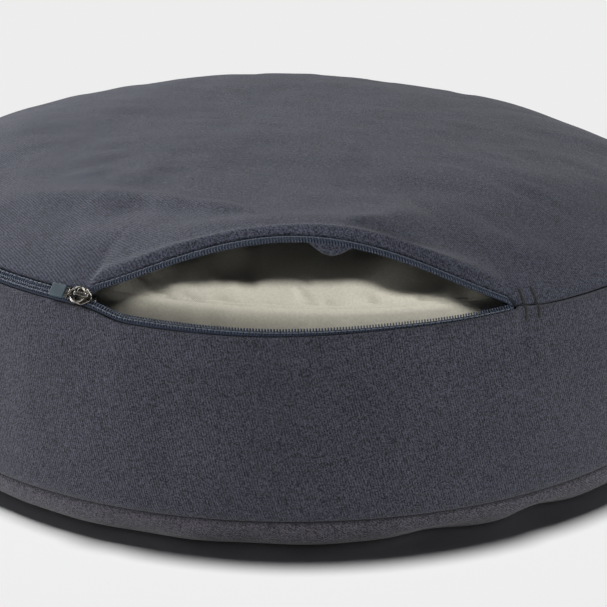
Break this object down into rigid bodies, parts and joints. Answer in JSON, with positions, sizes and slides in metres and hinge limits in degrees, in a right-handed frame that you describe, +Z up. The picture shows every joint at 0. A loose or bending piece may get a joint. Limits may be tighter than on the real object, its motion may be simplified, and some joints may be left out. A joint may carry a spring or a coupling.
{
  "type": "floor cushion",
  "caption": "Round zipped floor cushion: twill cover with a domed top over a filled cotton liner, zip partly open at the front.",
  "frame": {"origin": "on the floor under the middle of the cushion", "axes": "+Z up, -Y out of the front, where the zip stands open, +X to the right as seen from the front"},
  "size_m": [0.4009, 0.4018, 0.1412],
  "materials": {
    "cover_twill": "brushed fine twill, matt",
    "liner_cotton": "plain-woven natural cotton",
    "fibre_filling": "loose fibre, hidden",
    "zip_tape": "woven zip tape",
    "zip_coil": "dyed nylon coil, satin",
    "dark_nickel": "polished dark nickel plate",
    "slate_rubber": "moulded, matt",
    "dark_thread": "polyester sewing thread",
    "pale_thread": "cotton sewing thread"
  },
  "bodies": {
    "cover": {"cover_top_panel": "cover_twill", "cover_side_band": "cover_twill", "cover_bottom_panel": "cover_twill", "liner_top_panel": "liner_cotton", "liner_side_band": "liner_cotton", "liner_bottom_panel": "liner_cotton", "fill_core": "fibre_filling", "zip_tape_lower": "zip_tape", "zip_tape_upper_closed": "zip_tape", "zip_coil_lower": "zip_coil", "zip_coil_upper_closed": "zip_coil", "zip_thread_lower": "dark_thread", "zip_thread_upper_closed": "dark_thread", "bar_tack_right_inner": "dark_thread", "bar_tack_right_outer": "dark_thread", "bar_tack_left_inner": "dark_thread", "bar_tack_left_outer": "dark_thread", "cover_top_seam_thread": "dark_thread", "cover_bottom_seam_thread": "dark_thread", "liner_top_seam_thread": "pale_thread", "liner_bottom_seam_thread": "pale_thread"},
    "upper_lip": {"zip_tape_upper_mouth": "zip_tape", "zip_coil_upper_mouth": "zip_coil", "zip_thread_upper_mouth": "dark_thread"},
    "slider": {"zip_slider_body": "dark_nickel", "zip_slider_crown": "dark_nickel"},
    "pull_ring": {"pull_ring": "dark_nickel"},
    "pull_tab": {"pull_tab_plate": "dark_nickel", "pull_tab_grip": "slate_rubber"}
  },
  "joints": [
    {"name": "slider_run", "type": "hinge", "parent": "cover", "child": "slider", "pos_m": [0, 0, 0.104], "axis": [0.034, 0, 0.9994], "range_deg": [0, 56.1]},
    {"name": "lip_close", "type": "slide", "parent": "cover", "child": "upper_lip", "axis": [-0.027, -0.6084, -0.7931], "range_m": [0, 0.03785], "deforming": ["zip_tape_upper_mouth", "zip_coil_upper_mouth", "zip_thread_upper_mouth"]},
    {"name": "ring_swing", "type": "hinge", "parent": "slider", "child": "pull_ring", "pos_m": [-0.09112, -0.1716, 0.10944], "axis": [0.3645, 0.6196, 0.6951], "range_deg": [0, 120]},
    {"name": "tab_swing", "type": "hinge", "parent": "pull_ring", "child": "pull_tab", "pos_m": [-0.09725, -0.16822, 0.10965], "axis": [0.3645, 0.6196, 0.6951], "range_deg": [0, 90]}
  ],
  "couplings": [
    {"joint": "lip_close", "follows": "slider_run", "m_per_rad": 0.038608}
  ]
}
